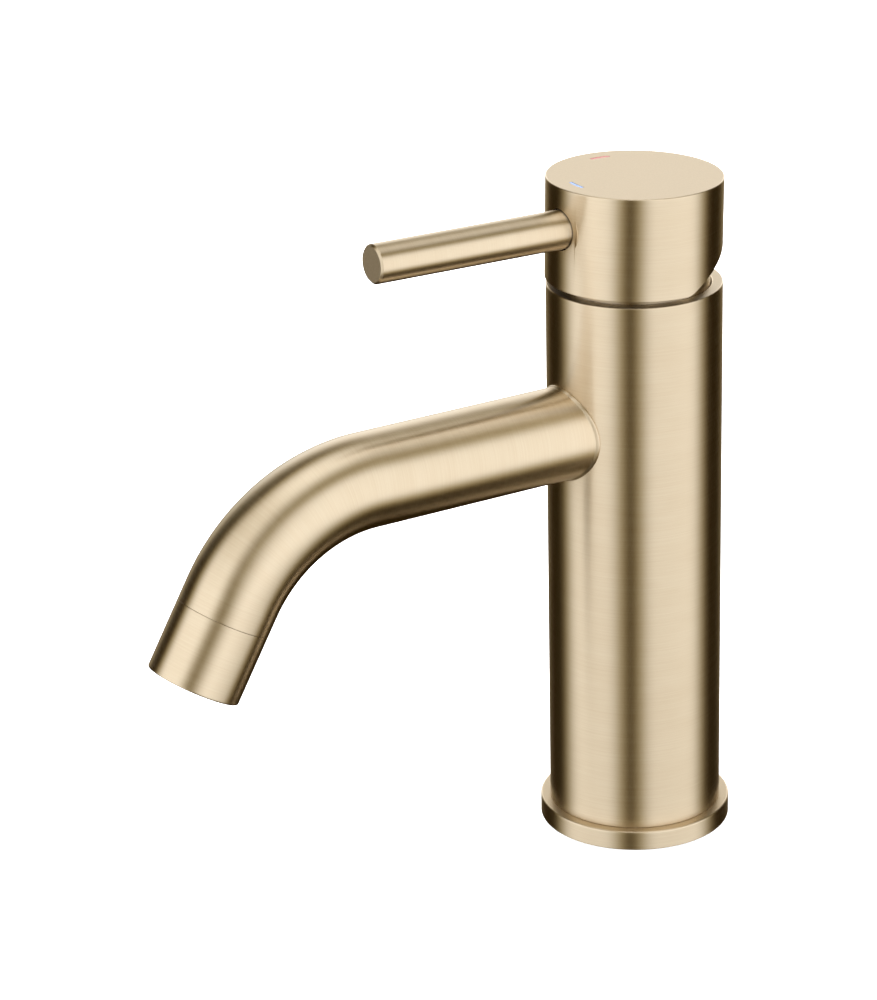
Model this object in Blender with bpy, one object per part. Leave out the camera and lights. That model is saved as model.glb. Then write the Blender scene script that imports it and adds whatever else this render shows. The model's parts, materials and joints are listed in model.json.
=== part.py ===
"""Single-lever basin mixer: bent tube spout, round column, rod lever on a cap that tilts and turns.

Frame: +Z up, origin on the deck under the column's axis, spout and lever towards -Y, hot side at -X.
Lengths are in metres.
"""

import math

import bmesh
import bpy
from mathutils import Matrix, Vector

MM = 0.001

# Clearances
FIT = 0.3 * MM  # between neighbouring pieces
SNUG = 0.15 * MM  # round an inlay

# Base
FLANGE_REACH = 2.5 * MM  # flange outside the column
FLANGE_LIFT = 0.4 * MM  # flange clear of the deck, on its seal
FLANGE_TOP = 5.6 * MM
FLANGE_BEVEL = 0.5 * MM
SEAL_INSET = 3.2 * MM  # seal inside the flange's edge
SEAL_WIDTH = 4.2 * MM
SEAL_HEIGHT = 1.9 * MM
INSERT_HEIGHT = 14.0 * MM
STUD_HOLE_RADIUS = 3.4 * MM
STUD_HOLE_OFFSET = 11.5 * MM
HOSE_HOLE_RADIUS = 5.6 * MM
HOSE_HOLE_SPREAD = 6.2 * MM
HOSE_HOLE_FRONT = 3.1 * MM

# Column
COLUMN_RADIUS = 22.5 * MM
COLUMN_TOP = 149.0 * MM
COLUMN_LOWER_WALL = 4.7 * MM
COLUMN_UPPER_WALL = 2.9 * MM
COLUMN_BEVEL = 0.3 * MM

# Spout
SPOUT_RADIUS = 12.05 * MM
SPOUT_WALL = 1.85 * MM
SPOUT_HEIGHT = 112.46 * MM  # axis of the straight run
SPOUT_STRAIGHT = 80.1 * MM  # column axis to the start of the bend
SPOUT_BEND_RADIUS = 44.3 * MM
SPOUT_BEND = math.radians(60.1)
SPOUT_END = 23.7 * MM  # straight run after the bend, aerator housing included
SPOUT_ROOT = 14.3 * MM  # column axis to the tube's inner end
SPIGOT_LENGTH = 6.2 * MM
SPIGOT_RADIUS = 11.0 * MM

# Aerator
AERATOR_LENGTH = 18.25 * MM
AERATOR_LIP = 1.6 * MM
AERATOR_BEVEL = 0.4 * MM
AERATOR_BORE_RADIUS = 10.5 * MM
INSERT_WALL = 1.5 * MM
INSERT_JETS = ((0.0, 1), (0.36, 6), (0.72, 12))  # (share of the cup's inner radius, holes on that circle)
SCREEN_HEIGHT = 0.75 * MM
SCREEN_JETS = ((0.0, 1), (0.5, 8))
JET_RADIUS = 0.75 * MM
WASHER_WIDTH = 3.0 * MM
WASHER_HEIGHT = 1.6 * MM

# Valve core
CORE_DROP = 21.5 * MM  # cartridge's seat below the column's top
CORE_DEPTH = 22.46 * MM  # core below the spout's axis
CORE_BORE_RADIUS = 4.0 * MM
INLET_SPREAD = 7.0 * MM
INLET_BACK = 5.0 * MM
OUTLET_FRONT = 7.5 * MM
OUTLET_RADIUS = 3.6 * MM
SOCKET_RADIUS = 9.0 * MM
SOCKET_END = 6.0 * MM
NIPPLE_BORE_RADIUS = 5.0 * MM
NIPPLE_LENGTH = 16.0 * MM  # part inside the tube
O_RING_WIDTH = 2.0 * MM
O_RING_DEPTH = 1.2 * MM

# Cartridge
CARTRIDGE_RADIUS = 17.3 * MM
CARTRIDGE_WALL = 2.7 * MM
CARTRIDGE_BASE = 3.2 * MM
PORT_SEAL_RADIUS = 5.1 * MM
PORT_SEAL_HEIGHT = 1.2 * MM
PORT_RADIUS = 3.2 * MM
FIXED_DISC_RADIUS = 13.6 * MM
FIXED_DISC_HEIGHT = 2.7 * MM
MOVING_DISC_RADIUS = 10.0 * MM
MOVING_DISC_HEIGHT = 2.6 * MM
MIXING_CHAMBER_RADIUS = 6.8 * MM
MIXING_CHAMBER_DEPTH = 1.5 * MM
CARRIER_HEIGHT = 3.6 * MM
CARRIER_HOLE_RADIUS = 2.75 * MM
SWIVEL_RADIUS = 10.5 * MM
SWIVEL_FLANGE_RADIUS = 13.4 * MM
SWIVEL_FLANGE_HEIGHT = 1.3 * MM
SWIVEL_RISE = 4.0 * MM  # above the column's top, like the next three
HOUSING_ROOF = 2.0 * MM
HOUSING_NECK_WALL = 1.6 * MM
HOUSING_RISE = 3.0 * MM
NUT_HEIGHT = 2.3 * MM
DOME_RISE = 4.3 * MM
DOME_RUN = 3.8 * MM  # how far the dome curves in
DOME_WALL = 1.6 * MM

# Handle
PIVOT_RISE = 1.0 * MM
LIFT_RANGE = math.radians(25.0)
REST_LIFT = math.radians(1.12)  # the closed lever still points a little upwards
PIN_RADIUS = 1.5 * MM
PIN_LENGTH = 19.6 * MM
STEM_SIDE = 8.0 * MM
STEM_TOP = 16.0 * MM  # above the pivot
STEM_HUB_DROP = 5.0 * MM
STEM_ARM = 10.4 * MM  # pivot to the centre of the ball
STEM_BALL_RADIUS = 2.3 * MM
STEM_NECK_RADIUS = 1.7 * MM
CAP_GAP = 1.26 * MM  # between column and cap
CAP_HEIGHT = 26.59 * MM
CAP_WALL = 1.6 * MM
CAP_CEILING = 2.9 * MM
CAP_FORWARD = 0.31 * MM  # cap centre ahead of the stem
CAP_BEVEL = 0.3 * MM
RELIEF_START = 1.7 * MM  # behind the cap's centre
RELIEF_ANGLE = math.radians(28.7)
BOSS_RADIUS = 7.2 * MM
BOSS_BOTTOM = 8.2 * MM  # above the pivot
LEVER_HEIGHT = 16.08 * MM  # lever's axis above the pivot
LEVER_RADIUS = 5.0 * MM
LEVER_TIP = 76.6 * MM  # from the cap's centre
LEVER_ROOT = 14.3 * MM
LEVER_BEVEL = 0.5 * MM
STUD_RADIUS = 3.0 * MM
STUD_INNER = 8.6 * MM
STUD_OUTER = 24.0 * MM
GRUB_RADIUS = 2.0 * MM
GRUB_START = 4.8 * MM
GRUB_LENGTH = 4.1 * MM
GRUB_HEIGHT = 13.0 * MM
GRUB_SLOPE = math.radians(13.0)
GRUB_PAD_RADIUS = 3.6 * MM
GRUB_SOCKET_ACROSS = 2.0 * MM
GRUB_SOCKET_DEPTH = 2.0 * MM
MARK_INSET = 4.9 * MM
MARK_WIDTH = 0.9 * MM
MARK_DEPTH = 0.5 * MM
MARK_ARC = math.radians(18.0)
HOT_MARK_BEARING = math.radians(176.0)
COLD_MARK_BEARING = math.radians(270.0)

# Facets round a full circle
BROAD = 56
MEDIUM = 32
NARROW = 16
TINY = 6
SHARP_EDGE = math.radians(32.0)  # edges that turn more than this stay crisp

# Worked out
FLANGE_RADIUS = COLUMN_RADIUS + FLANGE_REACH
SEAL_OUTER_RADIUS = FLANGE_RADIUS - SEAL_INSET
SEAT = FLANGE_TOP + FIT  # column's lower edge
LOWER_BORE = COLUMN_RADIUS - COLUMN_LOWER_WALL
UPPER_BORE = COLUMN_RADIUS - COLUMN_UPPER_WALL
SPOUT_BORE = SPOUT_RADIUS - SPOUT_WALL
AERATOR_SEAM = AERATOR_LENGTH + FIT
CORE_BOTTOM = SPOUT_HEIGHT - CORE_DEPTH
CORE_TOP = COLUMN_TOP - CORE_DROP
LEDGE_HEIGHT = CORE_BOTTOM - FIT
BASE_BOTTOM = CORE_TOP + FIT
FIXED_DISC_BOTTOM = BASE_BOTTOM + CARTRIDGE_BASE + FIT
MOVING_DISC_BOTTOM = FIXED_DISC_BOTTOM + FIXED_DISC_HEIGHT + FIT
CARRIER_BOTTOM = MOVING_DISC_BOTTOM + MOVING_DISC_HEIGHT + FIT
SWIVEL_BOTTOM = CARRIER_BOTTOM + CARRIER_HEIGHT + FIT
ROOF_BOTTOM = SWIVEL_BOTTOM + SWIVEL_FLANGE_HEIGHT + FIT
SHOULDER = ROOF_BOTTOM + HOUSING_ROOF
NECK_BORE = SWIVEL_RADIUS + FIT
NECK_RADIUS = NECK_BORE + HOUSING_NECK_WALL
NUT_BOTTOM = SHOULDER + FIT
DOME_BOTTOM = NUT_BOTTOM + NUT_HEIGHT + FIT
DOME_TOP = COLUMN_TOP + DOME_RISE
SWIVEL_TOP = COLUMN_TOP + SWIVEL_RISE
HOUSING_TOP = COLUMN_TOP + HOUSING_RISE
PIVOT_HEIGHT = COLUMN_TOP + PIVOT_RISE
CAP_RADIUS = COLUMN_RADIUS
CAP_BOTTOM = COLUMN_TOP + CAP_GAP
CAP_TOP = CAP_BOTTOM + CAP_HEIGHT
MARK_RADIUS = CAP_RADIUS - MARK_INSET
DISC_TRAVEL = STEM_ARM * (math.sin(REST_LIFT + LIFT_RANGE) - math.sin(REST_LIFT))
BALL_Y = -STEM_ARM * math.sin(REST_LIFT)
DISC_Y = BALL_Y + DISC_TRAVEL / 2
PORTS = {
    "hot_inlet": Vector((-INLET_SPREAD, INLET_BACK, 0)),
    "cold_inlet": Vector((INLET_SPREAD, INLET_BACK, 0)),
    "outlet": Vector((0, -OUTLET_FRONT, 0)),
}
SLOT_DEPTH = (STEM_SIDE / 2 + FIT) / math.cos(LIFT_RANGE)  # half of the swivel's slot, for the tilting stem
SLOT_DEPTH += STEM_HUB_DROP * math.tan(LIFT_RANGE + REST_LIFT)
FORWARD = Vector((0, -1, 0))
UP = Vector((0, 0, 1))


# ---- Scene and materials ----------------------------------------------------------------------

def clear_scene():
    for obj in list(bpy.data.objects):
        bpy.data.objects.remove(obj, do_unlink=True)


def linear(channel):
    """One sRGB channel, 0 to 1, as linear light."""
    return channel / 12.92 if channel <= 0.04045 else ((channel + 0.055) / 1.055) ** 2.4


def finish(name, colour, roughness, metallic):
    """A Principled material from an sRGB colour such as 0xC8B796."""
    material = bpy.data.materials.new(name)
    material.use_nodes = True
    shader = material.node_tree.nodes["Principled BSDF"]
    rgb = [linear((colour >> shift & 255) / 255) for shift in (16, 8, 0)]
    shader.inputs["Base Color"].default_value = (*rgb, 1)
    shader.inputs["Roughness"].default_value = roughness
    shader.inputs["Metallic"].default_value = metallic
    return material


def frame_at(name, place, parent=None, turn_x=0.0):
    """An empty that pieces are modelled round; it stands on their joint's axis."""
    empty = bpy.data.objects.new(name, None)
    empty.location = place
    empty.rotation_euler.x = turn_x
    empty.parent = parent
    bpy.context.scene.collection.objects.link(empty)
    return empty


def piece(name, mesh_of_piece, material=None, parent=None):
    """The object for a finished bmesh."""
    bmesh.ops.recalc_face_normals(mesh_of_piece, faces=mesh_of_piece.faces)
    mesh = bpy.data.meshes.new(name)
    mesh_of_piece.to_mesh(mesh)
    mesh_of_piece.free()
    mesh.shade_smooth()
    mesh.set_sharp_from_angle(angle=SHARP_EDGE)
    obj = bpy.data.objects.new(name, mesh)
    if material:
        mesh.materials.append(material)
    obj.parent = parent
    bpy.context.scene.collection.objects.link(obj)
    return obj


def helper(obj):
    """Hides a shape that is only cut from, or joined to, another."""
    obj.hide_render = True
    obj.display_type = "WIRE"
    return obj


def combine(target, others, operation="DIFFERENCE"):
    for other in others:
        modifier = target.modifiers.new(other.name, "BOOLEAN")
        modifier.operation = operation
        modifier.solver = "EXACT"
        modifier.object = helper(other)


# ---- Basic shapes -----------------------------------------------------------------------------

def turned(name, outline, facets, material=None, parent=None, centre=(0, 0, 0)):
    """A (radius, height) outline turned about the vertical through centre.

    An outline whose ends are on the axis makes a solid; any other is closed on itself and makes a ring.
    """
    bm = bmesh.new()
    turns = [2 * math.pi * i / facets for i in range(facets)]
    rings = []
    for radius, height in outline:
        if radius > 0:
            corners = [(radius * math.cos(turn), radius * math.sin(turn), height) for turn in turns]
            rings.append([bm.verts.new(corner) for corner in corners])
    solid = outline[0][0] == 0
    following = rings[1:] if solid else rings[1:] + rings[:1]
    for lower, upper in zip(rings, following):
        for i in range(facets):
            j = (i + 1) % facets
            bm.faces.new((lower[i], lower[j], upper[j], upper[i]))
    if solid:
        close_end(bm, rings[0], outline[0][1])
        close_end(bm, rings[-1], outline[-1][1])
    obj = piece(name, bm, material, parent)
    obj.location = centre
    return obj


def close_end(bm, rim, height):
    """Closes a turned solid with a flat face, or with a point on the axis at another height than its rim."""
    if math.isclose(rim[0].co.z, height, abs_tol=1e-9):
        bm.faces.new(rim)
        return
    point = bm.verts.new((0, 0, height))
    for i, corner in enumerate(rim):
        bm.faces.new((corner, rim[(i + 1) % len(rim)], point))


def rod(name, radius, start, end, facets, material=None, parent=None, bevel=0.0):
    """A cylinder from start to end, with the far end's rim bevelled if asked."""
    start, end = Vector(start), Vector(end)
    length = (end - start).length
    outline = [(0, 0), (radius, 0), (radius, length - bevel), (radius - bevel, length), (0, length)]
    if not bevel:
        outline = [(0, 0), (radius, 0), (radius, length), (0, length)]
    obj = turned(name, outline, facets, material, parent)
    obj.rotation_mode = "QUATERNION"
    obj.rotation_quaternion = UP.rotation_difference(end - start)
    obj.location = start
    return obj


def block(name, low, high, material=None, parent=None):
    """A box between two corners."""
    low, high = Vector(low), Vector(high)
    bm = bmesh.new()
    size = Matrix.Diagonal((*(high - low), 1))
    bmesh.ops.create_cube(bm, size=1, matrix=Matrix.Translation((low + high) / 2) @ size)
    return piece(name, bm, material, parent)


def ring(name, outer, inner, bottom, top, facets, material=None, parent=None, centre=(0, 0, 0)):
    outline = [(outer, bottom), (outer, top), (inner, top), (inner, bottom)]
    return turned(name, outline, facets, material, parent, centre)


def spout_frames(first, last, bend_steps):
    """(centre, direction) along the spout's axis. Each end is a distance from the column's axis."""
    bend_length = SPOUT_BEND_RADIUS * SPOUT_BEND
    start_of_end = SPOUT_STRAIGHT + bend_length
    stops = [first]
    stops += [SPOUT_STRAIGHT + bend_length * i / bend_steps for i in range(bend_steps + 1)]
    stops += [last]
    frames = []
    for stop in stops:
        bent = min(max(stop - SPOUT_STRAIGHT, 0), bend_length) / SPOUT_BEND_RADIUS
        centre = Vector((0, -min(stop, SPOUT_STRAIGHT), SPOUT_HEIGHT))
        centre.y -= SPOUT_BEND_RADIUS * math.sin(bent)
        centre.z -= SPOUT_BEND_RADIUS * (1 - math.cos(bent))
        direction = Vector((0, -math.cos(bent), -math.sin(bent)))
        centre += direction * max(stop - start_of_end, 0)
        frames.append((centre, direction))
    return frames


def swept(name, outline, facets, material=None):
    """A tube along the spout. Outline is a closed list of (frame, radius)."""
    bm = bmesh.new()
    rings = []
    for (centre, direction), radius in outline:
        across = Vector((1, 0, 0))
        upward = across.cross(direction)
        turns = [2 * math.pi * i / facets for i in range(facets)]
        spokes = [across * math.cos(a) + upward * math.sin(a) for a in turns]
        rings.append([bm.verts.new(centre + spoke * radius) for spoke in spokes])
    for near, far in zip(rings, rings[1:] + rings[:1]):
        for i in range(facets):
            j = (i + 1) % facets
            bm.faces.new((near[i], near[j], far[j], far[i]))
    return piece(name, bm, material)


# ---- Base -------------------------------------------------------------------------------------

def make_base(gold, brass, rubber):
    flange_bore = SEAL_OUTER_RADIUS - SEAL_WIDTH - FIT
    recess_radius = SEAL_OUTER_RADIUS + FIT
    recess_top = SEAL_HEIGHT + FIT
    turned("base_flange", [
        (FLANGE_RADIUS, FLANGE_LIFT),
        (FLANGE_RADIUS, FLANGE_TOP - FLANGE_BEVEL),
        (FLANGE_RADIUS - FLANGE_BEVEL, FLANGE_TOP),
        (flange_bore, FLANGE_TOP),
        (flange_bore, recess_top),
        (recess_radius, recess_top),
        (recess_radius, FLANGE_LIFT),
    ], BROAD, gold)
    ring("base_seal", SEAL_OUTER_RADIUS, SEAL_OUTER_RADIUS - SEAL_WIDTH, 0, SEAL_HEIGHT, MEDIUM, rubber)

    insert_bottom = SEAT + FIT
    insert_top = insert_bottom + INSERT_HEIGHT
    radius = LOWER_BORE - FIT
    insert = turned("base_insert", [
        (0, insert_bottom), (radius, insert_bottom), (radius, insert_top), (0, insert_top),
    ], MEDIUM, brass)
    bottom = Vector((0, 0, insert_bottom - FIT))
    top = Vector((0, 0, insert_top + FIT))
    stud = Vector((0, STUD_HOLE_OFFSET, 0))
    cutters = [rod("stud_hole_cutter", STUD_HOLE_RADIUS, bottom + stud, top + stud, NARROW)]
    for side in (-1, 1):
        hose = Vector((side * HOSE_HOLE_SPREAD, -HOSE_HOLE_FRONT, 0))
        cutters.append(rod("hose_hole_cutter", HOSE_HOLE_RADIUS, bottom + hose, top + hose, NARROW))
    combine(insert, cutters)


# ---- Column and valve core --------------------------------------------------------------------

def make_column(gold):
    column = turned("body_column", [
        (COLUMN_RADIUS - COLUMN_BEVEL, SEAT),
        (COLUMN_RADIUS, SEAT + COLUMN_BEVEL),
        (COLUMN_RADIUS, COLUMN_TOP - COLUMN_BEVEL),
        (COLUMN_RADIUS - COLUMN_BEVEL, COLUMN_TOP),
        (UPPER_BORE, COLUMN_TOP),
        (UPPER_BORE, LEDGE_HEIGHT),
        (LOWER_BORE, LEDGE_HEIGHT),
        (LOWER_BORE, SEAT),
    ], BROAD, gold)
    axis = UP * SPOUT_HEIGHT
    hole = rod("spout_hole_cutter", SPOUT_RADIUS + FIT, axis, axis + FORWARD * 2 * COLUMN_RADIUS, MEDIUM)
    combine(column, [hole])


def make_valve_core(brass):
    radius = UPPER_BORE - FIT
    core = turned("valve_core", [
        (0, CORE_BOTTOM), (radius, CORE_BOTTOM), (radius, CORE_TOP), (0, CORE_TOP),
    ], MEDIUM, brass)
    axis = UP * SPOUT_HEIGHT
    outside = axis + FORWARD * (COLUMN_RADIUS + FIT)
    below = UP * (CORE_BOTTOM - FIT)
    above = UP * (CORE_TOP + FIT)
    outlet = PORTS["outlet"]
    cutters = [
        rod("tube_seat_cutter", SPOUT_RADIUS + FIT, axis + FORWARD * (SPOUT_ROOT - FIT), outside, MEDIUM),
        rod("nipple_socket_cutter", SOCKET_RADIUS, axis + FORWARD * SOCKET_END, outside, MEDIUM),
        rod("outlet_cutter", OUTLET_RADIUS, axis + outlet, above + outlet, NARROW),
    ]
    for name in ("hot_inlet", "cold_inlet"):
        inlet = PORTS[name]
        cutters.append(rod(name + "_cutter", CORE_BORE_RADIUS, below + inlet, above + inlet, NARROW))
    combine(core, cutters)


# ---- Spout ------------------------------------------------------------------------------------

def spout_length():
    return SPOUT_STRAIGHT + SPOUT_BEND_RADIUS * SPOUT_BEND + SPOUT_END


def make_spout(gold, brass, rubber):
    steps = 8
    seam = spout_length() - AERATOR_SEAM
    spigot_end = seam + SPIGOT_LENGTH
    spigot_bore = SPIGOT_RADIUS - SPOUT_WALL
    outer = [(frame, SPOUT_RADIUS) for frame in spout_frames(SPOUT_ROOT, seam, steps)]
    seam_frame = outer[-1][0]
    end_frame = spout_frames(SPOUT_ROOT, spigot_end, steps)[-1]
    inner = [(frame, SPOUT_BORE) for frame in reversed(spout_frames(SPOUT_ROOT, seam - SPOUT_WALL, steps))]
    spigot = [(seam_frame, SPIGOT_RADIUS), (end_frame, SPIGOT_RADIUS), (end_frame, spigot_bore)]
    spigot.append((inner[0][0], spigot_bore))
    swept("spout_tube", outer + spigot + inner, MEDIUM, gold)

    # The nipple is turned about the spout's axis: heights here run outwards from the column's axis.
    nipple_radius = SOCKET_RADIUS - FIT
    inside_tube = SPOUT_BORE - FIT
    groove_end = SPOUT_ROOT - 2 * FIT
    groove_start = groove_end - O_RING_WIDTH - 2 * FIT
    groove_radius = nipple_radius - O_RING_DEPTH
    tail = SPOUT_ROOT + NIPPLE_LENGTH
    nipple = turned("spout_nipple", [
        (nipple_radius, SOCKET_END + FIT),
        (nipple_radius, groove_start),
        (groove_radius, groove_start),
        (groove_radius, groove_end),
        (nipple_radius, groove_end),
        (nipple_radius, SPOUT_ROOT),
        (inside_tube, SPOUT_ROOT),
        (inside_tube, tail),
        (NIPPLE_BORE_RADIUS, tail),
        (NIPPLE_BORE_RADIUS, SOCKET_END + FIT),
    ], MEDIUM, brass)
    o_ring = ring(
        "spout_o_ring", nipple_radius, groove_radius + FIT,
        groove_start + FIT, groove_end - FIT, MEDIUM, rubber,
    )
    for obj in (nipple, o_ring):
        obj.rotation_euler.x = math.radians(90)
        obj.location.z = SPOUT_HEIGHT


def make_aerator(gold, plastic, steel, rubber):
    """Turned about the spout's end axis: heights run back from the outlet's face."""
    tip, direction = spout_frames(SPOUT_ROOT, spout_length(), 1)[-1]
    lean = UP.rotation_difference(-direction).to_euler()
    lip_radius = AERATOR_BORE_RADIUS - 2 * FIT
    spigot_seat = AERATOR_SEAM - SPIGOT_LENGTH - FIT
    housing_bore = SPIGOT_RADIUS + FIT
    housing = turned("aerator_housing", [
        (SPOUT_RADIUS - AERATOR_BEVEL, 0),
        (SPOUT_RADIUS, AERATOR_BEVEL),
        (SPOUT_RADIUS, AERATOR_LENGTH),
        (housing_bore, AERATOR_LENGTH),
        (housing_bore, spigot_seat),
        (AERATOR_BORE_RADIUS, spigot_seat),
        (AERATOR_BORE_RADIUS, AERATOR_LIP),
        (lip_radius, AERATOR_LIP),
        (lip_radius, 0),
    ], MEDIUM, gold)

    insert_radius = AERATOR_BORE_RADIUS - FIT
    insert_bore = insert_radius - INSERT_WALL
    washer_top = spigot_seat - FIT
    washer_bottom = washer_top - WASHER_HEIGHT
    insert_bottom = AERATOR_LIP + FIT
    insert_top = washer_bottom - FIT
    plate_top = insert_bottom + INSERT_WALL
    insert = turned("aerator_insert", [
        (0, insert_bottom),
        (insert_radius, insert_bottom),
        (insert_radius, insert_top),
        (insert_bore, insert_top),
        (insert_bore, plate_top),
        (0, plate_top),
    ], MEDIUM, plastic)
    screen_bottom = plate_top + 2 * FIT
    screen_top = screen_bottom + SCREEN_HEIGHT
    screen_radius = insert_bore - FIT
    screen = turned("aerator_screen", [
        (0, screen_bottom), (screen_radius, screen_bottom), (screen_radius, screen_top), (0, screen_top),
    ], MEDIUM, steel)
    washer = ring(
        "aerator_washer", insert_radius, insert_radius - WASHER_WIDTH,
        washer_bottom, washer_top, MEDIUM, rubber,
    )

    jets = [
        jet_cutter("jet_cutter", share * insert_bore, count, insert_bottom, plate_top)
        for share, count in INSERT_JETS
    ]
    screen_jets = [
        jet_cutter("screen_jet_cutter", share * insert_bore, count, screen_bottom, screen_top)
        for share, count in SCREEN_JETS
    ]
    combine(insert, jets)
    combine(screen, screen_jets)
    for obj in (housing, insert, screen, washer, *jets, *screen_jets):
        obj.rotation_euler = lean
        obj.location = tip


def jet_cutter(name, circle, count, bottom, top):
    """A ring of small round bars in one mesh, to drill a plate with."""
    bm = bmesh.new()
    for i in range(count):
        turn = 2 * math.pi * i / count
        middle = (circle * math.cos(turn), circle * math.sin(turn), (bottom + top) / 2)
        bmesh.ops.create_cone(
            bm, cap_ends=True, segments=TINY, radius1=JET_RADIUS, radius2=JET_RADIUS,
            depth=top - bottom + 2 * FIT, matrix=Matrix.Translation(middle),
        )
    return piece(name, bm)


# ---- Cartridge --------------------------------------------------------------------------------

def drill_ports(target, outline):
    """Cuts the same turned outline at each of the three ports."""
    combine(target, [
        turned(target.name + "_" + name + "_cutter", outline, NARROW, None, None, place)
        for name, place in PORTS.items()
    ])


def make_cartridge_base(plastic, ceramic, rubber):
    base_top = BASE_BOTTOM + CARTRIDGE_BASE
    base = turned("cartridge_base", [
        (0, BASE_BOTTOM), (CARTRIDGE_RADIUS, BASE_BOTTOM), (CARTRIDGE_RADIUS, base_top), (0, base_top),
    ], MEDIUM, plastic)
    seal_top = BASE_BOTTOM + PORT_SEAL_HEIGHT
    groove_radius = PORT_SEAL_RADIUS + FIT
    drill_ports(base, [
        (0, BASE_BOTTOM - FIT),
        (groove_radius, BASE_BOTTOM - FIT),
        (groove_radius, seal_top + FIT),
        (PORT_RADIUS, seal_top + FIT),
        (PORT_RADIUS, base_top + FIT),
        (0, base_top + FIT),
    ])
    for name, place in PORTS.items():
        ring(
            name + "_seal", PORT_SEAL_RADIUS, PORT_RADIUS + FIT,
            BASE_BOTTOM, seal_top, NARROW, rubber, None, place,
        )

    disc_top = FIXED_DISC_BOTTOM + FIXED_DISC_HEIGHT
    disc = turned("fixed_disc", [
        (0, FIXED_DISC_BOTTOM),
        (FIXED_DISC_RADIUS, FIXED_DISC_BOTTOM),
        (FIXED_DISC_RADIUS, disc_top),
        (0, disc_top),
    ], MEDIUM, ceramic)
    drill_ports(disc, [
        (0, FIXED_DISC_BOTTOM - FIT),
        (PORT_RADIUS, FIXED_DISC_BOTTOM - FIT),
        (PORT_RADIUS, disc_top + FIT),
        (0, disc_top + FIT),
    ])


def make_sliding_discs(plastic, ceramic, swivel_frame):
    """Moving disc and its carrier: their frame's origin is where the stem's ball sits at rest."""
    slide = frame_at("disc_slide_frame", (0, BALL_Y, 0), swivel_frame)
    centre = (0, DISC_Y - BALL_Y, 0)
    bottom = MOVING_DISC_BOTTOM
    top = bottom + MOVING_DISC_HEIGHT
    ceiling = bottom + MIXING_CHAMBER_DEPTH
    turned("moving_disc", [
        (0, ceiling),
        (MIXING_CHAMBER_RADIUS, ceiling),
        (MIXING_CHAMBER_RADIUS, bottom),
        (MOVING_DISC_RADIUS, bottom),
        (MOVING_DISC_RADIUS, top),
        (0, top),
    ], MEDIUM, ceramic, slide, centre)
    carrier_top = CARRIER_BOTTOM + CARRIER_HEIGHT
    carrier = turned("disc_carrier", [
        (0, CARRIER_BOTTOM),
        (MOVING_DISC_RADIUS, CARRIER_BOTTOM),
        (MOVING_DISC_RADIUS, carrier_top),
        (0, carrier_top),
    ], MEDIUM, plastic, slide, centre)
    low = UP * (CARRIER_BOTTOM - FIT)
    high = UP * (carrier_top + FIT)
    combine(carrier, [rod("ball_hole_cutter", CARRIER_HOLE_RADIUS, low, high, NARROW, None, slide)])


def make_cartridge_housing(plastic, brass, gold):
    cavity = CARTRIDGE_RADIUS - CARTRIDGE_WALL
    turned("cartridge_housing", [
        (CARTRIDGE_RADIUS, FIXED_DISC_BOTTOM),
        (CARTRIDGE_RADIUS, SHOULDER),
        (NECK_RADIUS, SHOULDER),
        (NECK_RADIUS, HOUSING_TOP),
        (NECK_BORE, HOUSING_TOP),
        (NECK_BORE, ROOF_BOTTOM),
        (cavity, ROOF_BOTTOM),
        (cavity, FIXED_DISC_BOTTOM),
    ], MEDIUM, plastic)
    nut_radius = UPPER_BORE - FIT
    ring("cartridge_nut", nut_radius, NECK_RADIUS + FIT, NUT_BOTTOM, NUT_BOTTOM + NUT_HEIGHT, MEDIUM, brass)

    # The dome's outer line is a quarter of an ellipse from the column's rim to its flat top.
    steps = 4
    arc = []
    for i in range(steps + 1):
        turn = math.pi / 2 * i / steps
        inset = DOME_RUN * (1 - math.cos(turn))
        arc.append((nut_radius - inset, COLUMN_TOP + DOME_RISE * math.sin(turn)))
    hole = NECK_RADIUS + FIT
    turned("dome_ring", [
        (nut_radius, DOME_BOTTOM),
        *arc,
        (hole, DOME_TOP),
        (hole, DOME_TOP - DOME_WALL),
        (nut_radius - DOME_RUN, DOME_TOP - DOME_WALL),
        (nut_radius - DOME_WALL, COLUMN_TOP),
        (nut_radius - DOME_WALL, DOME_BOTTOM),
    ], MEDIUM, gold)


def make_swivel(plastic, steel, swivel_frame, pin_frame):
    flange_top = SWIVEL_BOTTOM + SWIVEL_FLANGE_HEIGHT
    swivel = turned("cartridge_swivel", [
        (0, SWIVEL_BOTTOM),
        (SWIVEL_FLANGE_RADIUS, SWIVEL_BOTTOM),
        (SWIVEL_FLANGE_RADIUS, flange_top),
        (SWIVEL_RADIUS, flange_top),
        (SWIVEL_RADIUS, SWIVEL_TOP),
        (0, SWIVEL_TOP),
    ], MEDIUM, plastic, swivel_frame)
    half_width = STEM_SIDE / 2 + FIT
    slot = block(
        "stem_slot_cutter",
        (-half_width, -SLOT_DEPTH, SWIVEL_BOTTOM - FIT),
        (half_width, SLOT_DEPTH, SWIVEL_TOP + FIT),
        None, swivel_frame,
    )
    across = Vector((SWIVEL_RADIUS + FIT, 0, 0))
    bore = rod("pin_bore_cutter", PIN_RADIUS + FIT, -across, across, NARROW, None, pin_frame)
    combine(swivel, [slot, bore])
    half = Vector((PIN_LENGTH / 2, 0, 0))
    rod("pivot_pin", PIN_RADIUS, -half, half, NARROW, steel, pin_frame)


# ---- Handle -----------------------------------------------------------------------------------

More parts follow.
